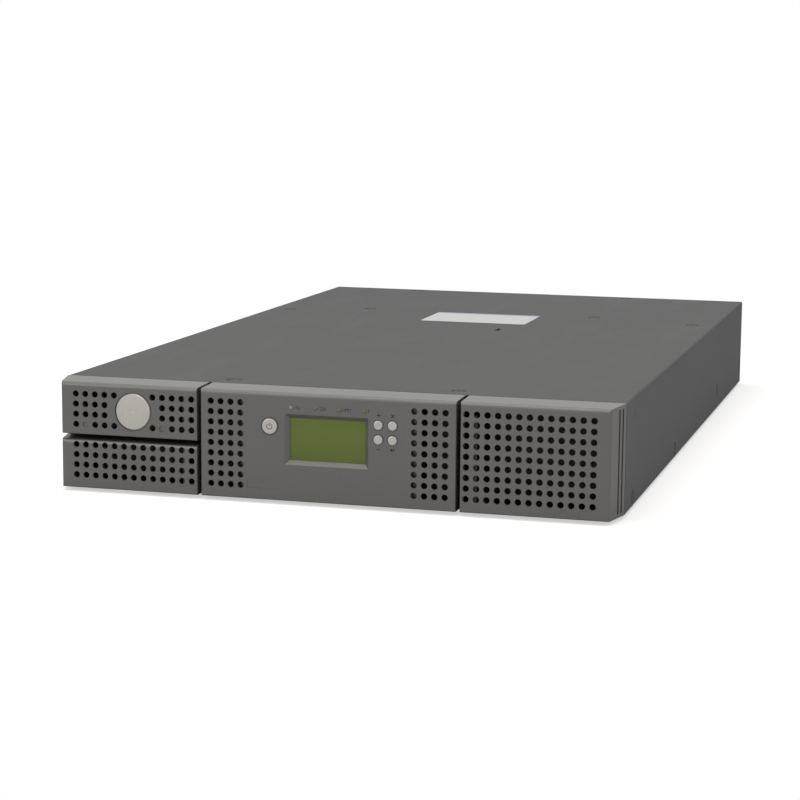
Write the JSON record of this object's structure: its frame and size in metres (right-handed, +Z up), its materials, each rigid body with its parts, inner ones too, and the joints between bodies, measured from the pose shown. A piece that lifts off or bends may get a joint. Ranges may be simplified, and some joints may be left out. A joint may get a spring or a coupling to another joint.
{
  "type": "data tape library",
  "caption": "Two-unit rack tape library with perforated bezels, pull-out cartridge magazines, a display and keys, and a picker inside.",
  "frame": {"origin": "middle of the footprint, on the surface that the foot pads stand on", "axes": "+X to the right seen from the front, +Y from the bezels to the rear panel, +Z up"},
  "size_m": [0.447, 0.7624, 0.0876],
  "materials": {
    "bezel_paint": "satin metallic grey paint on moulded plastic",
    "case_paint": "fine-textured charcoal powder coat",
    "inner_steel": "dark coated sheet",
    "zinc_sheet": "zinc-plated sheet",
    "bright_steel": "bright steel",
    "motor_shell": "satin steel",
    "dark_plastic": "moulded black plastic",
    "nylon": "natural moulded plastic",
    "silver_plastic": "satin silver paint on plastic",
    "display_glass": "clear window over an olive display",
    "display_case": "display module",
    "amber_lens": "tinted light pipe",
    "circuit_board": "green solder mask",
    "yellow_plastic": "moulded yellow plastic",
    "rubber": "black rubber"
  },
  "bodies": {
    "chassis": {"base_pan": "inner_steel", "top_cover": "case_paint", "front_frame": "inner_steel", "rear_cage": "zinc_sheet", "rear_panel": "case_paint", "bay_rails": "dark_plastic", "cover_screws": "bright_steel", "foot_pads": "rubber", "shipping_lock": "yellow_plastic", "centre_bezel": "bezel_paint", "display_window": "display_glass", "display_panel": "display_case", "display_carrier": "bezel_paint", "control_board": "circuit_board", "indicator_lights": "amber_lens", "aisle_rail": "dark_plastic", "rack_rail": "dark_plastic", "blank_panel": "case_paint", "interconnect_boards": "circuit_board"},
    "power_key": {"power_button": "silver_plastic"},
    "plus_key": {"key_plus": "silver_plastic"},
    "cancel_key": {"key_cancel": "silver_plastic"},
    "minus_key": {"key_minus": "silver_plastic"},
    "enter_key": {"key_enter": "silver_plastic"},
    "left_magazine": {"left_magazine_bezel": "bezel_paint", "left_magazine_bracket": "zinc_sheet", "left_magazine_side": "dark_plastic", "left_magazine_shelves": "dark_plastic", "left_magazine_dividers": "dark_plastic", "left_magazine_springs": "bright_steel"},
    "station": {"station_bezel": "bezel_paint", "badge_disc": "silver_plastic", "station_tray": "dark_plastic"},
    "right_magazine": {"right_magazine_bezel": "bezel_paint", "right_magazine_bracket": "zinc_sheet", "right_magazine_side": "dark_plastic", "right_magazine_shelves": "dark_plastic", "right_magazine_dividers": "dark_plastic", "right_magazine_springs": "bright_steel"},
    "carriage": {"carriage_plate": "zinc_sheet", "guide_posts": "bright_steel", "carriage_motors": "motor_shell"},
    "pinion": {"travel_pinion": "nylon"},
    "screw": {"lift_screw": "bright_steel"},
    "platform": {"lift_platform": "zinc_sheet", "turn_motor": "motor_shell"},
    "picker": {"turntable": "dark_plastic", "picker_frame": "zinc_sheet", "reach_motor": "motor_shell", "code_reader": "dark_plastic"},
    "hand": {"gripper": "nylon"},
    "sled": {"drive_sled": "zinc_sheet", "tape_drive": "inner_steel", "sled_thumbscrews": "bright_steel"},
    "drive_rotor": {"drive_fan": "dark_plastic"},
    "supply": {"power_supply": "zinc_sheet", "power_inlet": "dark_plastic"},
    "supply_rotor": {"supply_fan": "dark_plastic"},
    "controller": {"controller_card": "circuit_board", "card_ports": "bright_steel"}
  },
  "joints": [
    {"name": "power_button_press", "type": "slide", "parent": "chassis", "child": "power_key", "axis": [0, 1, 0], "range_m": [0, 0.001], "stiffness_N_per_m": 400},
    {"name": "plus_key_press", "type": "slide", "parent": "chassis", "child": "plus_key", "axis": [0, 1, 0], "range_m": [0, 0.001], "stiffness_N_per_m": 400},
    {"name": "cancel_key_press", "type": "slide", "parent": "chassis", "child": "cancel_key", "axis": [0, 1, 0], "range_m": [0, 0.001], "stiffness_N_per_m": 400},
    {"name": "minus_key_press", "type": "slide", "parent": "chassis", "child": "minus_key", "axis": [0, 1, 0], "range_m": [0, 0.001], "stiffness_N_per_m": 400},
    {"name": "enter_key_press", "type": "slide", "parent": "chassis", "child": "enter_key", "axis": [0, 1, 0], "range_m": [0, 0.001], "stiffness_N_per_m": 400},
    {"name": "left_magazine_slide", "type": "slide", "parent": "chassis", "child": "left_magazine", "axis": [0, -1, 0], "range_m": [0, 0.44]},
    {"name": "station_slide", "type": "slide", "parent": "left_magazine", "child": "station", "axis": [0, -1, 0], "range_m": [0, 0.112]},
    {"name": "right_magazine_slide", "type": "slide", "parent": "chassis", "child": "right_magazine", "axis": [0, -1, 0], "range_m": [0, 0.44]},
    {"name": "accessor_travel", "type": "slide", "parent": "chassis", "child": "carriage", "axis": [0, 1, 0], "range_m": [-0.218, 0.1125]},
    {"name": "pinion_turn", "type": "hinge", "parent": "carriage", "child": "pinion", "pos_m": [0.1058, 0.0037, 0.0146], "axis": [1, 0, 0], "range_deg": [-859.94, 1665.9]},
    {"name": "accessor_lift", "type": "slide", "parent": "carriage", "child": "platform", "axis": [0, 0, 1], "range_m": [0, 0.0491]},
    {"name": "screw_turn", "type": "hinge", "parent": "carriage", "child": "screw", "pos_m": [-0.094, -0.0003, 0.0332], "axis": [0, 0, 1], "range_deg": [0, 1768.1]},
    {"name": "picker_turn", "type": "hinge", "parent": "platform", "child": "picker", "pos_m": [0, -0.0603, 0.0086], "axis": [0, 0, -1], "range_deg": [0, 180]},
    {"name": "gripper_reach", "type": "slide", "parent": "picker", "child": "hand", "axis": [-1, 0, 0], "range_m": [0, 0.14]},
    {"name": "drive_sled_pull", "type": "slide", "parent": "chassis", "child": "sled", "axis": [0, 1, 0], "range_m": [0, 0.226]},
    {"name": "drive_fan_spin", "type": "hinge", "parent": "sled", "child": "drive_rotor", "pos_m": [-0.05, 0.3505, 0.02525], "axis": [0, 1, 0], "continuous": true},
    {"name": "power_supply_pull", "type": "slide", "parent": "chassis", "child": "supply", "axis": [0, 1, 0], "range_m": [0, 0.22]},
    {"name": "supply_fan_spin", "type": "hinge", "parent": "supply", "child": "supply_rotor", "pos_m": [-0.1845, 0.3445, 0.0417], "axis": [0, 1, 0], "continuous": true},
    {"name": "controller_card_pull", "type": "slide", "parent": "chassis", "child": "controller", "axis": [0, 1, 0], "range_m": [0, 0.176]}
  ],
  "couplings": [
    {"joint": "pinion_turn", "follows": "accessor_travel", "rad_per_m": -133.33},
    {"joint": "screw_turn", "follows": "accessor_lift", "rad_per_m": 628.32}
  ]
}
